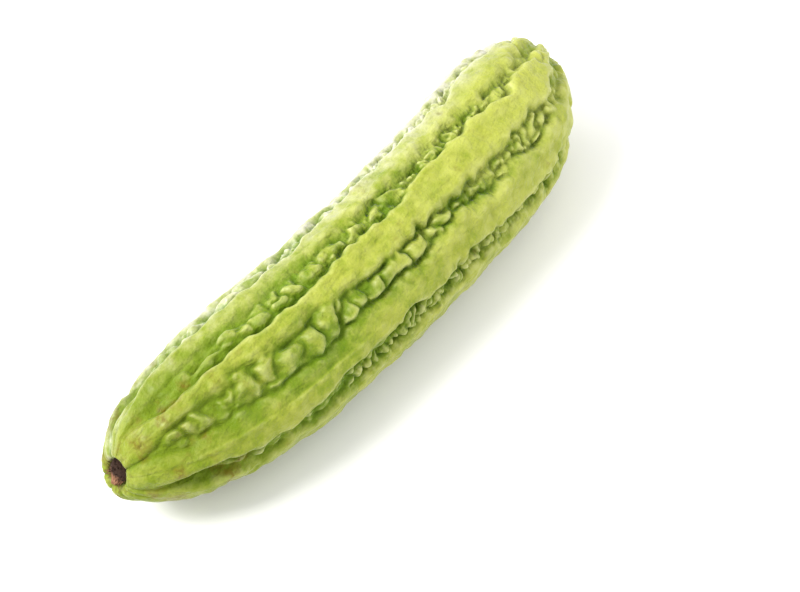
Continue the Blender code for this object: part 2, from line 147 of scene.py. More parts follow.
# The lobes in the valley after each rib: their sizes along and across it, how high they rise, how far
# their row lies off the middle near the stem, and where and over what share of the length they set in
LOBE_LENGTHS = (0.0095, 0.0100, 0.0095, 0.0105, 0.0095, 0.0110, 0.0060, 0.0092)
LOBE_WIDTHS = (0.0080, 0.0100, 0.0110, 0.0100, 0.0110, 0.0100, 0.0070, 0.0120)
LOBE_RISES = (0.86, 0.90, 0.85, 0.8, 0.55, 0.8, 0.90, 0.92)
LOBE_SIDES = (0.0004, 0.0, 0.0, 0.0, 0.0, 0.0, 0.0, 0.0024)
LOBE_STARTS = (0.06, 0.10, 0.12, 0.12, 0.14, 0.10, 0.10, 0.02)
LOBE_ONSETS = (0.18, 0.06, 0.06, 0.06, 0.06, 0.06, 0.06, 0.06)
SIDE_FADE = (0.25, 0.40)

# How unevenly the lobes stand, how their row is rounded off, and how they fade out at both ends and
# towards the tops of the ribs
LOBE_JITTER = 0.80
LOBE_FOOT = 0.10
ROW_REACH = 0.60
ROW_FULLNESS = 0.45
VALLEY_FADE = (0.010, 0.018)
LOBES_END = 0.86
LOBES_END_LENGTH = 0.07
LOBES_END_SHARE = 0.90
LOBE_CLEARANCE = 0.16

# The small warts that take the lobes' place further on
WART_LENGTHS = (0.0033, 0.0050, 0.0048, 0.0052, 0.0046, 0.0050, 0.0040, 0.0046)
WART_WIDTHS = (0.0062, 0.0054, 0.0056, 0.0052, 0.0056, 0.0050, 0.0040, 0.0056)
WART_STARTS = (0.52, 0.50, 0.60, 0.50, 0.60, 0.50, 0.30, 0.72)
WART_ONSET = 0.20
WART_JITTER = 1.0
LEAST_WART = 0.45

# How far the lumps' cell patterns lie apart: of neighbouring valleys, and of lobes and warts
VALLEYS_APART = 20.0
WARTS_APART = 7.0

# How a lump is rounded and parted from its neighbours, as shares of its cell and of its height
CROWN_REACHES = (0.28, 0.52)
CROWN_FULLNESS = 0.60
LOWEST_LUMP = 0.76
GROOVE_REACH = 0.13
GROOVE_SHARE = 0.56
GROOVE_MEAN = 0.85

# Fine folds across the lobes, long pleats near the stem and wrinkles near the blossom end
FOLD_SIZE = 0.0022
FOLD_STRETCH = 0.25
FOLD_STEEPNESS = 4.0
FOLDS_APART = 3.0
FOLD_HEIGHT = 0.0010
LEAST_FOLD = 0.3
PLEATING = (0.45, 1.0, 1.4, 1.0, 0.8, 1.0, 1.5, 0.55)
PLEAT_FADE = (0.010, 0.070)
PLEAT_SPACING = 0.0090
PLEAT_STRETCH = 0.16
PLEAT_REACH = 0.050
WRINKLE_FADE = (0.040, 0.018)
WRINKLE_SPACING = 0.0105
WRINKLE_REACH = 0.060
FOLDS_FROM = 0.016

# How far neighbouring forms melt into one another
LUMP_MERGE = 0.0006
RIB_MERGE = 0.0009
CREST_MERGE = 0.1

# Layers of unevenness, each by the size of its features and how far it swings
WANDER = ((0.060, 0.30), (0.022, 0.12))
RIB_SWELLS = ((0.035, 0.0020), (0.011, 0.0012))
SCALLOPS = ((0.018, 0.0070), (0.0085, 0.0086), (0.0040, 0.0022))
ROW_WOBBLE = ((0.011, 0.0080), (0.0060, 0.0066))
ROW_RIPPLE = ((0.012, 0.0090), (0.0058, 0.0080))
ROW_STRETCH = ((0.030, 0.0300),)
PARTING = ((0.020, 1.2), (0.0058, 3.4))
GROOVE_DEPTHS = ((0.0065, 4.0),)
WART_PATCHES = ((0.030, 3.0),)
DIPS = ((0.030, 0.0016),)
DENTS = ((0.014, 0.0016), (0.0070, 0.0014), (0.0034, 0.0011))

# The socket of the stalk at the stem end, the shoulder round it and how the face round it is tilted
SHOULDER_RADIUS = 0.0095
SHOULDER_REACH = 0.75
SOCKET_RIM = 0.0022
SOCKET_FLOOR = 0.0024
FACE_TURN = 0.05
FACE_LIFT = 0.42
FACE_FADE = (0.006, 0.016)

# Over how many steps of the mesh the height is averaged: to soften it, and to tell hollows and basins
SOFTENING = 3
HOLLOW_STEPS = 4
BASIN_STEPS = 24

# The painted sheen, a whitish glare, and a heavier coat lie high on the inner side of the bend, towards
# the back softbox: they set in between these sines and these cosines of the angle from the top
SHEEN_SIDE_SINES = (0.15, 0.90)
SHEEN_TOP_COSINES = (0.05, 0.45)

# The plug of the stalk's scar: its ragged edge, the narrow tongue that hangs from it, and how far its
# middle stands out from the socket's floor
PLUG_SEGMENTS = 96
PLUG_RINGS = 64
RAGGED_SCALES = (0.5, 2.6)
RAGGEDNESS = 0.5
TONGUE_NARROWING = 0.58
TONGUE_OVERHANG = 0.0006
PLUG_RISE = 0.0010

# Its torn fibres: the arc round the plug where they stand, in radians, how far out and how deep, how
# they lean out of the socket and how they curl
FIBRE_ARC = (-1.2, 4.4)
FIBRE_REACHES = (0.25, 1.0)
FIBRE_SPREAD = 0.0036
FIBRE_DEPTHS = (-0.0012, 0.0)
LEAN_FORWARD = (-1.0, -0.1)
LEAN_OUT = 1.3
LEAN_SIDE = (-0.5, 0.5)
LEAN_UP = (-0.4, 0.7)
FIBRE_STRETCHES = (0.4, 1.3)
FIBRE_TIP = 0.00005
FIBRE_SIDES = 6
FIBRE_PARTS = 5
CURL_SIZE = 0.0016
CURL = 0.0011

# The skin's green in the valleys and on the ribs
VALLEY_GREEN = (0.115, 0.195, 0.006)
RIB_GREEN = (0.326, 0.352, 0.044)

# The tints over it, from the lowest up: each one's colour and how much of it shows at the most
TINTS = {
    # Painted shade in the wide basins of the relief
    "basin": ((0.085, 0.155, 0.004), 0.60),
    # Painted shade in the narrow creases of the relief
    "crease": ((0.036, 0.070, 0.002), 0.72),
    # Painted shade in the troughs of the fine wrinkles
    "fine wrinkle": ((0.060, 0.115, 0.003), 0.48),
    # Pale rims: partly the ribs' own paler edges, partly painted highlight
    "rim": ((0.560, 0.575, 0.240), 0.78),
    "patch": ((0.450, 0.475, 0.105), 0.60),
    # Painted sheen: a whitish glare on the upper flank
    "painted_sheen_side": ((0.575, 0.550, 0.510), 1.0),
    "stem end": ((0.165, 0.200, 0.012), 0.42),
    "blemish": ((0.150, 0.120, 0.008), 0.85),
    # A dark ring round the stalk: partly a stain, partly painted shade in the sunken socket
    "stain_and_shade": ((0.060, 0.040, 0.012), 0.80),
    "fleck": ((0.090, 0.085, 0.010), 0.65),
}

# Sizes of the features in the skin's colour; a fleck's radius is a share of the flecks' spacing
CLOUD_SIZE = 0.016
MOTTLE_SIZE = 0.0045
GRAIN_SIZE = 0.0011
PATCH_SIZE = 0.0075
BLEMISH_SIZE = 0.0080
SPECKLE_SIZE = 0.0016
STAIN_AND_SHADE_SIZE = 0.0020
FLECK_SPACING = 0.0038
FLECK_SHARE = 0.10
FLECK_GROUPS = 0.013

# How deep a full hollow and a full basin lie, where the painted shade in them is at its darkest
FULL_HOLLOW = 0.0003
FULL_BASIN = 0.0012

# Where along the fruit, how high over the floor and at what girth some colours begin and end
STEM_ZONE = (0.03, 0.33)
PATCH_START = 0.35
LOW_SIDE = 0.030
STAIN_AND_SHADE_GIRTH = 0.17

# Fine wrinkles across the valleys and fine dents all over, only in the shader: bumps, and painted shade
# in the wrinkles' troughs
FINE_WRINKLE_START = (0.12, 0.60)
FINE_WRINKLE_END = (0.86, 0.92)
FINE_WRINKLE_SIZE = 0.0015
FINE_WRINKLE_STRETCH = 0.32
FINE_DENT_SIZE = 0.0030
FINE_DENT_STRETCH = 0.55
FINE_DEPTH = 0.0020

# The dry stalk: reddish brown cork, nearly black above this height, partly dark cork and partly painted
# shade where the socket is sunken, and darker on its fibres
CORK_COLOURS = ((0.130, 0.055, 0.028), (0.360, 0.175, 0.090))
DARK_CORK_AND_SHADE = (0.030, 0.014, 0.008)
DARK_HEIGHT = 0.0304
DARK_FADE = 0.0034
DARK_EDGE_SIZE = 0.0012
STREAK_SIZE = 0.0007
STREAK_STRETCH = (1.0, 2.5, 0.7)
STREAK_DEPTH = 0.0005

# The floor: two nearly equal tones in broad clouds
FLOOR_COLOURS = ((0.88, 0.875, 0.86), (0.90, 0.895, 0.885))
FLOOR_CLOUDS = 0.8
FLOOR_REACH = 4.0

# The softboxes: where each stands, its width and its power in watts
SOFTBOXES = {
    "back_softbox": ((-0.20, 0.80, 0.32), 0.40, 3.2),
    "top_softbox": ((-0.55, 0.30, 0.80), 0.40, 11.0),
    "front_softbox": ((0.65, -0.60, 0.55), 0.80, 3.8),
}
LIT_POINT = (0.0, 0.0, 0.03)

# The camera: turned and tilted as the photograph's, with its focal length in picture widths
CAMERA_AZIMUTH = -51.0
CAMERA_ELEVATION = 52.53
CAMERA_DISTANCE = 0.9718
CAMERA_SHIFT = (0.0101, 0.0081)
FOCAL_WIDTHS = 2579 / 800
SENSOR_WIDTH = 36.0

RIBS = len(RIB_ANGLES)


class Field:
    """A value that varies over a surface. Arithmetic on numbers adds Math nodes to its node tree."""

    def __init__(self, socket):
        self.socket = socket

    def node(self, kind, settings, inputs, output=0):
        """One output of a new node, whose settings are set first and then its sockets' values or links."""
        return add_node(self.socket.id_data, kind, settings, inputs, output)

    def output(self, name):
        """Another output of the same node."""
        return Field(self.socket.node.outputs[name])

    def math(self, operation, *others):
        inputs = dict(enumerate((self, *others)))
        return self.node("ShaderNodeMath", {"operation": operation}, inputs)

    def __add__(self, other):
        return self.math("ADD", other)

    def __sub__(self, other):
        return self.math("SUBTRACT", other)

    def __mul__(self, other):
        return self.math("MULTIPLY", other)

    def __truediv__(self, other):
        return self.math("DIVIDE", other)

    def __pow__(self, other):
        return self.math("POWER", other)

    def __rsub__(self, other):
        return self.math("MULTIPLY_ADD", -1.0, other)

    def __rtruediv__(self, other):
        return self.math("POWER", -1.0) * other

    def __neg__(self):
        return self.math("MULTIPLY", -1.0)

    def __abs__(self):
        return self.math("ABSOLUTE")

    __radd__ = __add__
    __rmul__ = __mul__

    def sin(self):
        return self.math("SINE")

    def cos(self):
        return self.math("COSINE")

    def root(self):
        return self.math("SQRT")

    def at_least(self, other):
        return self.math("MAXIMUM", other)

    def at_most(self, other):
        return self.math("MINIMUM", other)

    def share(self):
        """Held between 0 and 1."""
        return self.at_least(0.0).at_most(1.0)

    def eased(self):
        """A smooth step from 0 to 1."""
        x = self.share()
        return x * x * (3.0 - 2.0 * x)

    def dome(self):
        """A quarter round: upright at 0 and level from 1 on."""
        rest = 1.0 - self.share()
        return (1.0 - rest * rest).root()


def add_node(tree, kind, settings, inputs, output=0):
    node = tree.nodes.new(kind)
    for name, value in settings.items():
        setattr(node, name, value)
    for name, value in inputs.items():
        if isinstance(value, Field):
            tree.links.new(value.socket, node.inputs[name])
        else:
            node.inputs[name].default_value = value
    return Field(node.outputs[output])


def vector(x, y, z=0.0):
    return x.node("ShaderNodeCombineXYZ", {}, {"X": x, "Y": y, "Z": z})


def coordinates(place):
    """The x, y and z of a place."""
    x = place.node("ShaderNodeSeparateXYZ", {}, {0: place})
    return x, x.output("Y"), x.output("Z")


def noise(place, size, detail=1.0):
    """Smooth random values about 0, between about -0.5 and 0.5, with features of this size."""
    settings = {"Vector": place, "Scale": 1.0 / size, "Detail": detail}
    return place.node("ShaderNodeTexNoise", {}, settings) - 0.5


def waves(place, layers):
    """The sum of layers of noise, each given by the size of its features and how far it swings."""
    swings = [noise(place, size) * swing for size, swing in layers]
    return sum(swings[1:], swings[0])


def stretched(place, x, y, z):
    inputs = {0: place, 1: (x, y, z)}
    return place.node("ShaderNodeVectorMath", {"operation": "MULTIPLY"}, inputs)


def pick(index, values):
    """The value with this number in the list."""
    tree = index.socket.id_data
    node = tree.nodes.new("GeometryNodeIndexSwitch")
    node.data_type = "FLOAT"
    while len(node.index_switch_items) < len(values):
        node.index_switch_items.new()
    tree.links.new(index.socket, node.inputs["Index"])
    for entry, value in zip(node.inputs[1:], values):
        entry.default_value = value
    return Field(node.outputs[0])


def blend(low, high, share):
    return share * (high - low) + low


def ramp(value, start, end):
    """A smooth step from 0 at the start to 1 at the end."""
    return ((value - start) / (end - start)).eased()


def rib_phase(around):
    """Ribs passed since the first one, 0 to 8, at an angle of so many radians round from it."""
    turn = around / math.tau
    turn = turn - turn.math("FLOOR")
    node = turn.node("ShaderNodeFloatCurve", {}, {"Value": turn})
    mapping = node.socket.node.mapping
    for number, angle in enumerate(RIB_ANGLES[1:], start=1):
        mapping.curves[0].points.new(angle / 360.0, number / RIBS)
    mapping.update()
    return node * RIBS


def straight_body(along, size):
    """Distance along the axis, radius without ribs and the meridian's normal, for a share of the way."""
    stem = (along / STEM_SHARE).share() * (math.pi / 2)
    blossom = ((1.0 - along) / BLOSSOM_SHARE).share() * (math.pi / 2)
    middle = ((along - STEM_SHARE) / (1.0 - STEM_SHARE - BLOSSOM_SHARE)).share()
    straight = size["Length"] - (STEM_TAPER + BLOSSOM_TAPER)
    distance = (1.0 - stem.cos()) * STEM_TAPER + middle * straight + blossom.cos() * BLOSSOM_TAPER
    radius = stem.sin() ** STEM_FULLNESS * blossom.sin() ** BLOSSOM_FULLNESS * size["Core Radius"]
    roundness = stem.sin() * blossom.sin()
    slope = (blossom.cos() / BLOSSOM_TAPER - stem.cos() / STEM_TAPER) * size["Core Radius"]
    steep = (slope * slope + roundness * roundness).root().at_least(1e-6)
    return distance, radius, slope / steep, roundness / steep


def lumps(along, across, row, jitter, depth):
    """Rounded lumps, one to a cell, partly grown together: their share of the full height."""
    place = vector(along, across + (row + jitter / 2.0))
    inputs = {"Vector": place, "Scale": 1.0, "Randomness": jitter}
    cell = place.node("ShaderNodeTexVoronoi", {"voronoi_dimensions": "2D"}, inputs)
    settings = {"voronoi_dimensions": "2D", "feature": "DISTANCE_TO_EDGE"}
    edge = (place.node("ShaderNodeTexVoronoi", settings, inputs) / GROOVE_REACH).share()
    drawn = place.node("FunctionNodeSeparateColor", {}, {"Color": cell.output("Color")})
    reach = blend(*CROWN_REACHES, drawn.output("Green"))
    crown = (1.0 - cell * cell / reach).at_least(0.0) ** CROWN_FULLNESS
    groove = 1.0 - edge * (2.0 - edge)
    return blend(LOWEST_LUMP, 1.0, drawn) * crown * (1.0 - groove * depth * GROOVE_SHARE)


def lobe_relief(place, phase, distance, pitch, size):
    """Height of the large lobes and small warts that fill the valleys."""
    valley = phase.math("FLOOR").math("MODULO", RIBS)
    progress = distance / size["Length"]
    near_stem = 1.0 - ramp(progress, *SIDE_FADE)
    across = (phase - phase.math("FLOOR") - 0.5) * pitch - pick(valley, LOBE_SIDES) * near_stem
    across = across + waves(place, ROW_WOBBLE)
    rippled = distance + waves(place, ROW_RIPPLE)
    along = rippled + waves(place, ROW_STRETCH)
    depth = (waves(place, GROOVE_DEPTHS) + GROOVE_MEAN).share()
    wide = pick(valley, LOBE_WIDTHS)
    row = valley * VALLEYS_APART
    lobes = lumps(along / pick(valley, LOBE_LENGTHS), across / wide, row, LOBE_JITTER, depth)
    warts = lumps(
        rippled / pick(valley, WART_LENGTHS),
        across / pick(valley, WART_WIDTHS),
        row + WARTS_APART,
        WART_JITTER,
        depth,
    )
    bias = waves(place, WART_PATCHES) + (progress - pick(valley, WART_STARTS)) / WART_ONSET
    wartiness = (bias + 0.5).eased()
    onset = ((progress - pick(valley, LOBE_STARTS)) / pick(valley, LOBE_ONSETS)).eased()
    off_row = across / (wide * ROW_REACH)
    within = (1.0 - off_row * off_row).at_least(0.0) ** ROW_FULLNESS
    rise = pick(valley, LOBE_RISES)
    lobes = blend(LOBE_FOOT, 1.0, lobes) * within * rise * size["Lobe Height"] * (1.0 - wartiness)
    warts = warts * rise * size["Wart Height"] * blend(LEAST_WART, 1.0, wartiness)
    folds = vector(distance, across * FOLD_STRETCH, valley * FOLDS_APART)
    folds = abs(noise(folds, FOLD_SIZE)) * FOLD_STEEPNESS
    folds = folds.at_most(1.0) * FOLD_HEIGHT * blend(LEAST_FOLD, 1.0, wartiness)
    return (lobes.math("SMOOTH_MAX", warts, LUMP_MERGE) + folds) * onset


def rib_relief(place, phase, distance, radius, size):
    """Height of the ribs, bulging like a pumpkin's at the stalk, and how far lobes are parted from them."""
    pitch = radius * (math.tau / RIBS)
    girth = (radius / size["Core Radius"]).share()
    rooted = 1.0 - ramp(distance, ROOT_START, ROOT_END)
    progress = distance / size["Length"]
    nearest = (phase + 0.5).math("FLOOR")
    rib = nearest.math("MODULO", RIBS)
    behind = phase.math("GREATER_THAN", nearest)
    widened = ramp(progress, *WIDENING)
    half = blend(pick(rib, FORE_WIDTHS), pick(rib, REAR_WIDTHS), behind)
    half = blend(half, pick(rib, BLOSSOM_WIDTHS), widened)
    half = blend(half, 0.5, rooted)
    scallops = waves(place, SCALLOPS) * girth * (1.0 - rooted) * blend(CALM_RIMS, 1.0, widened)
    inside = (half - abs(phase - nearest)) * pitch + scallops
    slope = blend(pick(rib, FORE_SLOPES), pick(rib, REAR_SLOPES), behind)
    slope = blend(slope, (slope * 0.5).at_least(LEAST_SLOPE), widened)
    crisp_side = blend(pick(rib, FORE_CREASES), pick(rib, REAR_CREASES), behind)
    crisp_side = blend(crisp_side, (crisp_side + EVEN_CREASE) * 0.5, widened)
    step = (inside / blend(RIM_WIDTH, pitch * ROOT_RIM, rooted).at_least(1e-5)).dome()
    flank = (inside / (slope * girth).at_least(1e-5)).eased()
    dip = (inside / (half * pitch).at_least(1e-5)).share()
    dip = dip * dip * (waves(place, DIPS) + DIP).at_least(0.0) * girth
    height = pick(rib, RIB_HEIGHTS) + waves(place, RIB_SWELLS)
    edge = blend(pick(rib, FORE_STEPS), pick(rib, REAR_STEPS), behind)
    edge = blend(edge, (edge + EVEN_STEP) * 0.5, widened)
    profile = blend(edge, 1.0, flank)
    flattened = 1.0 - END_FLATTENING * ramp(progress, LOBES_END, LOBES_END + FLATTENING_LENGTH)
    height = height * profile * ramp(girth, *RIB_FADE) * flattened
    off_gutter = (inside + GUTTER_WIDTH) / GUTTER_WIDTH
    parted = (crisp_side - PARTING_LEVEL + waves(place, PARTING)).share()
    gutter = (1.0 - off_gutter * off_gutter).at_least(0.0)
    gutter = gutter * (crisp_side * GUTTER_SHARE + parted * PARTED_SHARE)
    gutter = gutter * (1.0 - rooted) * girth * GUTTER_DEPTH
    valley = phase.math("FLOOR").math("MODULO", RIBS)
    bulge = 1.0 - (1.0 - step) * pick(valley, ROOT_CREASES)
    crest = blend(profile * step, bulge, rooted)
    crease = 1.0 - parted * (1.0 - (-inside / CREASE_WIDTH).eased())
    return blend(height * step - dip - gutter, radius * ROOT_HEIGHT * bulge, rooted), crest, crease


def end_folds(distance, radius, around, phase, size):
    """Depth, below 0, of the long pleats near the stem and of the wrinkles near the blossom end."""
    y = around.cos()
    z = around.sin()
    core = size["Core Radius"]
    near_stem = 1.0 - ramp(distance, *PLEAT_FADE)
    pleat = abs(noise(vector(distance * PLEAT_STRETCH, y * core, z * core), PLEAT_SPACING)) / PLEAT_REACH
    near_blossom = ramp(size["Length"] - distance, *WRINKLE_FADE)
    wrinkle = abs(noise(vector(distance, y * radius, z * radius), WRINKLE_SPACING)) / WRINKLE_REACH
    pleated = pick((phase + 0.5).math("FLOOR").math("MODULO", RIBS), PLEATING)
    pleats = (1.0 - pleat.share()) * near_stem * pleated * size["Pleat Depth"]
    wrinkles = (1.0 - wrinkle.share()) * near_blossom * size["Wrinkle Depth"]
    return -(pleats + wrinkles) * (radius / FOLDS_FROM).share()


def skin_relief(around, distance, radius, size):
    """Height of the ribs and warts over the body, at an angle round it and a distance along it."""
    place = vector(distance, radius * around.cos(), radius * around.sin())
    progress = distance / size["Length"]
    twist = ramp(progress, TWIST_START, 1.0)
    phase = rib_phase(around + waves(place, WANDER) + twist * math.radians(TWIST))
    pitch = radius * (math.tau / RIBS)
    girth = (radius / size["Core Radius"]).share()
    ribs, crest, crease = rib_relief(place, phase, distance, radius, size)
    ending = 1.0 - LOBES_END_SHARE * ramp(progress, LOBES_END, LOBES_END + LOBES_END_LENGTH)
    fade = ramp(radius, *VALLEY_FADE) * ending
    off_crest = abs(phase - (phase + 0.5).math("FLOOR"))
    lobes = lobe_relief(place, phase, distance, pitch, size) * fade * crease
    lobes = lobes * ramp(off_crest, 0.0, LOBE_CLEARANCE)
    relief = ribs.math("SMOOTH_MAX", lobes, RIB_MERGE) + waves(place, DENTS) * girth
    relief = relief + end_folds(distance, radius, around, phase, size)
    return relief, crest.math("SMOOTH_MAX", lobes / size["Lobe Height"], CREST_MERGE)


def on_bent_axis(distance, out, around, size):
    """The point of the bent fruit at a distance along its axis and a distance out from it."""
    length = size["Length"]
    bend_radius = length / math.radians(BEND)
    heading = (distance - length / 2) / bend_radius
    lean = ((distance / length - LEAN_START) / (1.0 - LEAN_START)).at_least(0.0)
    side = out * around.sin() + lean * lean * TIP_LEAN
    rise = (1.0 - distance / (RISE_END * length)).at_least(0.0)
    height = out * around.cos() + rise * rise * STEM_RISE + size["Rest Height"]
    x = heading.sin() * bend_radius - side * heading.sin() + CENTRE[0]
    y = (1.0 - heading.cos()) * bend_radius + side * heading.cos() + CENTRE[1]
    return vector(x, y, height.at_least(0.0))


def averaged(value, steps):
    """A value averaged over so many steps of the mesh round each point."""
    return value.node("GeometryNodeBlurAttribute", {}, {"Value": value, "Iterations": steps})


def store(geometry, name, value):
    inputs = {"Geometry": geometry, "Name": name, "Value": value}
    return geometry.node("GeometryNodeStoreNamedAttribute", {}, inputs)


def new_tree(name, sizes, whole=()):
    """An empty node tree with an input for each size, and its inputs and Geometry output as fields."""
    tree = bpy.data.node_groups.new(name, "GeometryNodeTree")
    tree.interface.new_socket("Geometry", in_out="INPUT", socket_type="NodeSocketGeometry")
    for size in sizes:
        kind = "NodeSocketInt" if size in whole else "NodeSocketFloat"
        tree.interface.new_socket(size, in_out="INPUT", socket_type=kind)
    tree.interface.new_socket("Geometry", in_out="OUTPUT", socket_type="NodeSocketGeometry")
    entry = tree.nodes.new("NodeGroupInput")
    return tree, {size: Field(entry.outputs[size]) for size in ("Geometry", *sizes)}


def finish_tree(tree, geometry, material):
    real = geometry.node("GeometryNodeRealizeInstances", {}, {"Geometry": geometry})
    painted = real.node("GeometryNodeSetMaterial", {}, {"Geometry": real, "Material": material})
    result = tree.nodes.new("NodeGroupOutput")
    tree.links.new(painted.socket, result.inputs["Geometry"])
    return tree


def skin_tree(material):
    """The node tree that makes the fruit's skin from a sphere."""
    tree, size = new_tree("ribbed_skin", SKIN_SIZES, whole=("Segments", "Rings"))
    counts = {"Segments": size["Segments"], "Rings": size["Rings"], "Radius": 1.0}
    ball = add_node(tree, "GeometryNodeMeshUVSphere", {}, counts)
    position = add_node(tree, "GeometryNodeInputPosition", {}, {})
    x, y, z = coordinates(position)
    along = (-z).at_least(-1.0).at_most(1.0).math("ARCCOSINE") / math.pi
    around = (-y).math("ARCTAN2", x)
    distance, radius, forward, outward = straight_body(along, size)
    relief, crest = skin_relief(around - math.radians(FIRST_RIB), distance, radius, size)
    at_stem = along.math("LESS_THAN", 0.5)
    rim = ((radius - size["Socket Radius"]) / SOCKET_RIM).dome()
    relief = relief * (1.0 - at_stem * (1.0 - rim))
    off_ring = (radius - SHOULDER_RADIUS) / (SHOULDER_RADIUS * SHOULDER_REACH)
    shoulder = (1.0 - off_ring * off_ring).share() * at_stem * size["Shoulder"]
    level = distance - shoulder
    floor = level + (SOCKET_FLOOR - level) * (1.0 - rim) * at_stem
    relief = averaged(relief, SOFTENING)
    tilt = (around.sin() * FACE_TURN + around.cos() * FACE_LIFT) * radius
    tilt = tilt * (1.0 - ramp(radius, *FACE_FADE)) * at_stem
    place = on_bent_axis(floor + tilt + relief * forward, radius + relief * outward, around, size)
    skin = store(ball, "relief", relief)
    skin = store(skin, "crest", crest)
    skin = store(skin, "along", distance / size["Length"])
    skin = store(skin, "girth", radius / size["Core Radius"])
    # Where the painted sheen and a heavier coat lie: high on the side towards +Y
    skin = store(skin, "painted_sheen_side", ramp(around.sin(), *SHEEN_SIDE_SINES) * ramp(around.cos(), *SHEEN_TOP_COSINES))
    skin = skin.node("GeometryNodeSetPosition", {}, {"Geometry": skin, "Position": place})
    height = add_node(tree, "GeometryNodeInputNamedAttribute", {}, {"Name": "relief"})
    for name, steps in (("hollow", HOLLOW_STEPS), ("basin", BASIN_STEPS)):
        skin = store(skin, name, averaged(height, steps) - height)
    skin = skin.node("GeometryNodeSetShadeSmooth", {}, {"Geometry": skin})
    return finish_tree(tree, skin, material)


def chance(tree, low, high, seed):
    """A random number between two, one for each point."""
    # The sockets go by number, because those of numbers and of vectors share their names
    inputs = {2: low, 3: high, 8: seed}
    return add_node(tree, "FunctionNodeRandomValue", {"data_type": "FLOAT"}, inputs, 1)


def torn_plug(tree, size, position):
    """A cork plug with a ragged edge and a tongue hanging from it."""
    counts = {"Segments": PLUG_SEGMENTS, "Rings": PLUG_RINGS, "Radius": 1.0}
    ball = add_node(tree, "GeometryNodeMeshUVSphere", {}, counts)
    x, y, z = coordinates(position)
    hang = (-z).share()
    forward, sideways = RAGGED_SCALES
    ragged = 1.0 + noise(vector(x * forward, y * sideways, z * sideways), 1.0, 2.0) * RAGGEDNESS
    deep = x * size["Plug Depth"] * ragged - hang * hang * TONGUE_OVERHANG
    wide = y * size["Plug Radius"] * ragged * (1.0 - TONGUE_NARROWING * hang)
    tall = z * (size["Plug Radius"] + hang * size["Tongue"]) * ragged
    return ball.node("GeometryNodeSetPosition", {}, {"Geometry": ball, "Position": vector(deep, wide, tall)})


def torn_fibres(tree, size, position):
    """Thin, curled fibres that stand out of the plug, all round but for its lowest edge."""
    points = add_node(tree, "GeometryNodePoints", {}, {"Count": size["Fibres"]})
    turn = chance(tree, *FIBRE_ARC, 1)
    out = chance(tree, *FIBRE_REACHES, 2)
    y = turn.cos() * out
    z = turn.sin() * out
    spot = vector(chance(tree, *FIBRE_DEPTHS, 3), y * FIBRE_SPREAD, z * FIBRE_SPREAD)
    points = points.node("GeometryNodeSetPosition", {}, {"Geometry": points, "Position": spot})
    forward = chance(tree, *LEAN_FORWARD, 4)
    side = chance(tree, *LEAN_SIDE, 5)
    up = chance(tree, *LEAN_UP, 6)
    lean = vector(forward, y * LEAN_OUT + side, z * LEAN_OUT + up)
    aim = lean.node("FunctionNodeAlignRotationToVector", {"axis": "Z"}, {"Vector": lean})
    counts = {"Vertices": FIBRE_SIDES, "Side Segments": FIBRE_PARTS}
    sizes = {"Radius Top": FIBRE_TIP, "Radius Bottom": size["Fibre Radius"], "Depth": size["Fibre Length"]}
    strand = add_node(tree, "GeometryNodeMeshCone", {}, {**counts, **sizes})
    longer = chance(tree, *FIBRE_STRETCHES, 7)
    stretch = add_node(tree, "ShaderNodeCombineXYZ", {}, {"X": 1.0, "Y": 1.0, "Z": longer})
    inputs = {"Points": points, "Instance": strand, "Rotation": aim, "Scale": stretch}
    fibres = points.node("GeometryNodeInstanceOnPoints", {}, inputs)
    fibres = fibres.node("GeometryNodeRealizeInstances", {}, {"Geometry": fibres})
    x, y, z = coordinates(position)
    turned = (position, vector(y, z, x), vector(z, x, y))
    curl = stretched(vector(*(noise(place, CURL_SIZE) for place in turned)), CURL, CURL, CURL)
    return fibres.node("GeometryNodeSetPosition", {}, {"Geometry": fibres, "Offset": curl})


def stalk_tree(material):
    """The node tree of the stalk's scar: a plug and torn fibres, marked to tell them apart in colour."""
    tree, size = new_tree("torn_stalk", STALK_SIZES, whole=("Fibres",))
    position = add_node(tree, "GeometryNodeInputPosition", {}, {})
    plug = store(torn_plug(tree, size, position), "fibre", 0.0)
    fibres = store(torn_fibres(tree, size, position), "fibre", 1.0)
    both = add_node(tree, "GeometryNodeJoinGeometry", {}, {})
    for part in (fibres, plug):
        tree.links.new(part.socket, both.socket.node.inputs[0])
    both = both.node("GeometryNodeSetShadeSmooth", {}, {"Geometry": both})
    return finish_tree(tree, both, material)


def add_object(name, data):
    item = bpy.data.objects.new(name, data)
    bpy.context.scene.collection.objects.link(item)
    return item


def grown(name, tree, sizes, triangles=None):
    """The plain mesh object that a node tree makes with these sizes, thinned to so many triangles."""
    seed = add_object(name + "_seed", bpy.data.meshes.new(name + "_seed"))
    modifier = seed.modifiers.new(name, "NODES")
    modifier.node_group = tree
    for item in tree.interface.items_tree:
        if item.item_type == "SOCKET" and item.in_out == "INPUT" and item.name in sizes:
            modifier[item.identifier] = sizes[item.name]
    if triangles:
        full = 2 * sizes["Segments"] * (sizes["Rings"] - 1)
        thin = seed.modifiers.new("thin", "DECIMATE")
        thin.ratio = min(1.0, triangles / full)
    graph = bpy.context.evaluated_depsgraph_get()
    mesh = bpy.data.meshes.new_from_object(seed.evaluated_get(graph), depsgraph=graph)
    mesh.name = name
    bpy.data.objects.remove(seed)
    return add_object(name, mesh)


def keep_above_floor(piece):
    """Levels whatever the thinning pushed below the floor."""
    mesh = piece.data
    corners = np.empty(len(mesh.vertices) * 3, np.float32)
    mesh.vertices.foreach_get("co", corners)
    corners[2::3] = np.maximum(corners[2::3], 0.0)
    mesh.vertices.foreach_set("co", corners)
    mesh.update()


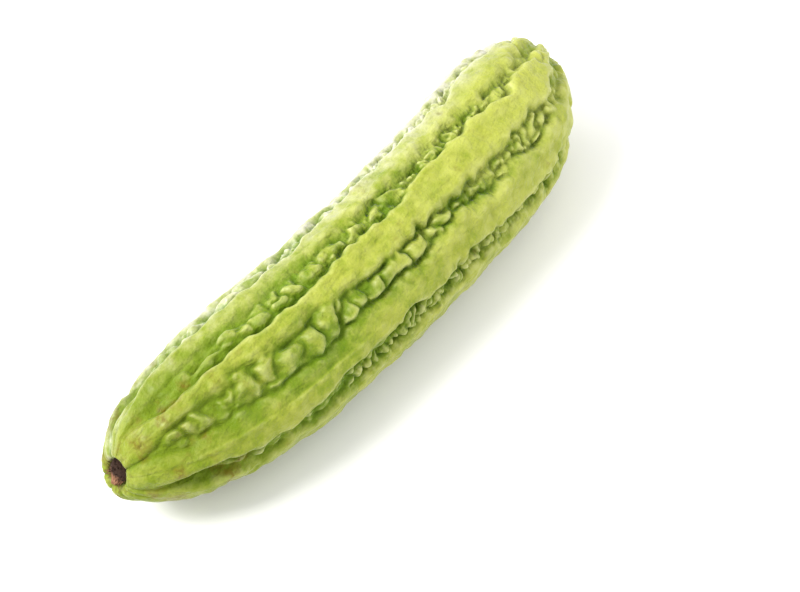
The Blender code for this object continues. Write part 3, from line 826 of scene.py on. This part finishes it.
def new_material(name, **constants):
    """A material, and its Principled shader with these constant values, by socket name."""
    material = bpy.data.materials.new(name)
    material.use_nodes = True
    shader = material.node_tree.nodes["Principled BSDF"]
    for socket, value in constants.items():
        shader.inputs[socket.replace("_", " ")].default_value = value
    return material, shader


def link(value, shader, socket):
    shader.id_data.links.new(value.socket, shader.inputs[socket])


def attribute(tree, name):
    return add_node(tree, "ShaderNodeAttribute", {"attribute_name": name}, {}, "Fac")


def mixed(share, low, high):
    """The colour this share of the way from low to high, each a colour or a field of colours."""
    low, high = (end if isinstance(end, Field) else (*end, 1.0) for end in (low, high))
    # The sockets go by number, because those of numbers and of colours share their names
    return share.node("ShaderNodeMix", {"data_type": "RGBA"}, {0: share, 6: low, 7: high}, 2)


def tinted(colour, amount, name):
    """The colour under a tint from the table, for an amount of it between 0 and 1."""
    tint, most = TINTS[name]
    return mixed(amount * most, colour, tint)


def bump(height, strength, distance):
    inputs = {"Height": height, "Strength": strength, "Distance": distance}
    return height.node("ShaderNodeBump", {}, inputs)


def blemished(colour, place, along, girth, high):
    """Brown blemishes, most of them near the stem, a dark ring round the stalk, partly a stain and partly
    painted shade in its socket, and groups of small flecks.
    """
    near_stem = 1.0 - ramp(along, *STEM_ZONE)
    colour = tinted(colour, near_stem, "stem end")
    height = coordinates(place)[2]
    low_side = 1.0 - ramp(height, 0.0, LOW_SIDE)
    bias = near_stem * 1.05 + low_side * 0.15 + high * 0.2 - 1.20
    blemish = (noise(place, BLEMISH_SIZE, 6.0) * 6.5 + bias).share()
    speckled = (noise(place, SPECKLE_SIZE, 2.0) * 3.0 + 0.75).share()
    colour = tinted(colour, blemish * speckled, "blemish")
    # A dark ring round the stalk: partly a stain, partly painted shade in the sunken socket
    stain_and_shade = (1.55 - girth / STAIN_AND_SHADE_GIRTH + noise(place, STAIN_AND_SHADE_SIZE, 2.0) * 2.4).share()
    colour = tinted(colour, stain_and_shade, "stain_and_shade")
    speck = place.node("ShaderNodeTexVoronoi", {}, {"Vector": place, "Scale": 1.0 / FLECK_SPACING})
    grouped = (noise(place, FLECK_GROUPS) * 6.0 - 0.6).share()
    fleck = (1.0 - speck / FLECK_SHARE).share() * grouped
    return tinted(colour, fleck, "fleck")


def green_skin():
    """Yellow-green ribs with partly painted pale rims, deeper green valleys with painted shade in their
    creases, faint blemishes, a soft, waxy sheen and a painted sheen on the upper flank.
    """
    material, shader = new_material(
        "green_skin",
        Subsurface_Weight=0.10,
        Subsurface_Radius=(1.0, 0.9, 0.2),
        Subsurface_Scale=0.003,
        Specular_IOR_Level=0.08,
        Sheen_Weight=0.10,
        Sheen_Roughness=0.4,
        Coat_Roughness=0.38,
        Coat_IOR=1.70,
    )
    tree = material.node_tree
    place = add_node(tree, "ShaderNodeTexCoord", {}, {}, "Object")
    crest = attribute(tree, "crest")
    hollow = attribute(tree, "hollow") / FULL_HOLLOW
    basin = attribute(tree, "basin") / FULL_BASIN
    along = attribute(tree, "along")
    girth = attribute(tree, "girth")
    painted_sheen_side = attribute(tree, "painted_sheen_side")
    cloud = noise(place, CLOUD_SIZE, 2.0)
    mottle = noise(place, MOTTLE_SIZE, 3.0)
    grain = noise(place, GRAIN_SIZE, 2.0)
    high = (crest * 0.62 + cloud * 0.70 + mottle * 0.90 + grain * 0.35 + along * 0.26 - 0.04).eased()
    colour = mixed(high, VALLEY_GREEN, RIB_GREEN)
    # Painted shade: darker green in the wide basins and the narrow creases of the relief
    colour = tinted(colour, (basin * 0.9 + mottle * 0.5).share(), "basin")
    colour = tinted(colour, (hollow * 0.7).share(), "crease")
    wrinkled = ramp(along, *FINE_WRINKLE_START) * (1.0 - ramp(along, *FINE_WRINKLE_END))
    wrinkled = (1.05 - crest * 1.1 + basin * 0.3).share() * wrinkled
    across = stretched(place, 1.0, FINE_WRINKLE_STRETCH, FINE_WRINKLE_STRETCH)
    wrinkle = noise(across, FINE_WRINKLE_SIZE, 1.5) * wrinkled
    # Painted shade: darker green in the troughs of the fine wrinkles
    colour = tinted(colour, (-wrinkle * 6.0).share(), "fine wrinkle")
    # Pale rims on the raised parts, away from hollows and basins: partly the ribs' paler edges, partly
    # painted highlight
    rims = (mottle * 0.3 - hollow * 0.40 - basin * 0.32 - 0.08).share()
    colour = tinted(colour, rims, "rim")
    pale = noise(place, PATCH_SIZE, 3.0) * 2.4 - 0.30 + high * 0.25 + (along - PATCH_START) * 1.5
    colour = tinted(colour, pale.share(), "patch")
    # Painted sheen: whitish glare on the upper flank, strongest on the raised parts towards the blossom end
    painted_sheen_amount = (0.14 + along * 0.56 + mottle * 1.4 + rims * 0.9).share()
    colour = tinted(colour, painted_sheen_side * painted_sheen_amount * high, "painted_sheen_side")
    link(blemished(colour, place, along, girth, high), shader, "Base Color")
    link(0.42 + mottle * 0.16 + basin.share() * 0.14, shader, "Roughness")
    waxy = 0.14 + painted_sheen_side * 0.95 + rims * 0.5 + mottle * 0.8 - basin.at_least(0.0) * 0.6
    link((waxy * (0.3 + high * 0.7)).share(), shader, "Coat Weight")
    dents = noise(stretched(place, FINE_DENT_STRETCH, 1.0, 1.0), FINE_DENT_SIZE, 4.0)
    link(bump(dents + grain * 0.25 + wrinkle * 1.6, 0.85, FINE_DEPTH), shader, "Normal")
    return material


def dry_stalk():
    """Dark, torn fibres over reddish brown cork that is paler low down and nearly black higher up, partly
    dark cork and partly painted shade of the sunken socket.
    """
    material, shader = new_material("dry_stalk", Roughness=0.85, Specular_IOR_Level=0.2)
    tree = material.node_tree
    place = add_node(tree, "ShaderNodeTexCoord", {}, {}, "Object")
    height = coordinates(place)[2]
    edge = noise(place, DARK_EDGE_SIZE, 3.0) * 1.6 + 0.5
    # Nearly black above this height: partly dark cork, partly painted shade where the socket is sunken
    upper = ((height - DARK_HEIGHT) / DARK_FADE + edge).eased()
    streak = noise(stretched(place, *STREAK_STRETCH), STREAK_SIZE, 3.0)
    colour = mixed((streak * 1.8 + 0.5).share(), *CORK_COLOURS)
    dark = (upper + attribute(tree, "fibre") * 0.35).share()
    link(mixed(dark, colour, DARK_CORK_AND_SHADE), shader, "Base Color")
    link(bump(streak, 0.6, STREAK_DEPTH), shader, "Normal")
    return material


def pale_floor():
    """A matt, nearly white floor."""
    material, shader = new_material("pale_floor", Roughness=0.9, Specular_IOR_Level=0.1)
    place = add_node(material.node_tree, "ShaderNodeTexCoord", {}, {}, "Object")
    tone = (noise(place, FLOOR_CLOUDS) * 0.2 + 0.5).share()
    link(mixed(tone, *FLOOR_COLOURS), shader, "Base Color")
    return material


def studio(floor_material):
    """A pale floor under an even white sky."""
    mesh = bpy.data.meshes.new("floor")
    corners = [(x * FLOOR_REACH, y * FLOOR_REACH, 0.0) for x, y in ((-1, -1), (1, -1), (1, 1), (-1, 1))]
    mesh.from_pydata(corners, [], [(0, 1, 2, 3)])
    mesh.materials.append(floor_material)
    floor = add_object("floor", mesh)
    world = bpy.data.worlds.new("studio")
    world.use_nodes = True
    background = world.node_tree.nodes["Background"]
    background.inputs["Color"].default_value = (1.0, 1.0, 1.0, 1.0)
    background.inputs["Strength"].default_value = 1.0
    bpy.context.scene.world = world


def view_axes():
    """The camera's right, up and backward directions."""
    azimuth = math.radians(CAMERA_AZIMUTH)
    elevation = math.radians(CAMERA_ELEVATION)
    back = Vector((
        math.sin(azimuth) * math.cos(elevation),
        -math.cos(azimuth) * math.cos(elevation),
        math.sin(elevation),
    ))
    right = Vector((math.cos(azimuth), math.sin(azimuth), 0.0))
    return right, back.cross(right), back


def add_camera():
    right, up, back = view_axes()
    camera = add_object("camera", bpy.data.cameras.new("camera"))
    camera.data.sensor_width = SENSOR_WIDTH
    camera.data.lens = SENSOR_WIDTH * FOCAL_WIDTHS
    eye = Vector((*CENTRE, 0.0)) + back * CAMERA_DISTANCE + right * CAMERA_SHIFT[0] + up * CAMERA_SHIFT[1]
    camera.matrix_world = Matrix.Translation(eye) @ Matrix((right, up, back)).transposed().to_4x4()
    bpy.context.scene.camera = camera


def add_lamp(name, place, size, power):
    """A square softbox at this place, aimed at the middle of the fruit."""
    lamp = add_object(name, bpy.data.lights.new(name, "AREA"))
    lamp.data.energy = power
    lamp.data.size = size
    turn = (Vector(LIT_POINT) - Vector(place)).to_track_quat("-Z", "Y")
    lamp.matrix_world = Matrix.Translation(place) @ turn.to_matrix().to_4x4()


def stalk_frame():
    """The place and turn of the stalk's scar: its own -X looks out of the fruit."""
    length = SKIN_SIZES["Length"]
    bend_radius = length / math.radians(BEND)
    heading = (SOCKET_FLOOR - PLUG_RISE - length / 2) / bend_radius
    place = Vector((
        math.sin(heading) * bend_radius + CENTRE[0],
        (1.0 - math.cos(heading)) * bend_radius + CENTRE[1],
        SKIN_SIZES["Rest Height"] + STEM_RISE,
    ))
    outwards = Vector((-1.0, FACE_TURN, FACE_LIFT)).normalized()
    turn = Matrix.Rotation(heading, 4, "Z") @ outwards.to_track_quat("-X", "Z").to_matrix().to_4x4()
    return Matrix.Translation(place) @ turn


def dress_fruit():
    skin = grown("ribbed_skin", skin_tree(green_skin()), SKIN_SIZES, SKIN_TRIANGLES)
    keep_above_floor(skin)
    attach(skin, "root")
    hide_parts("fruit")


def dress_stalk():
    stalk = grown("torn_stalk", stalk_tree(dry_stalk()), STALK_SIZES)
    stalk.data.transform(stalk_frame())
    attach(stalk, "root")
    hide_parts("stalk_scar")


def main():
    dress_fruit()
    dress_stalk()
    studio(pale_floor())
    for name, (place, size, power) in SOFTBOXES.items():
        add_lamp(name, place, size, power)
    add_camera()
    bpy.context.scene.view_settings.view_transform = "Standard"


main()
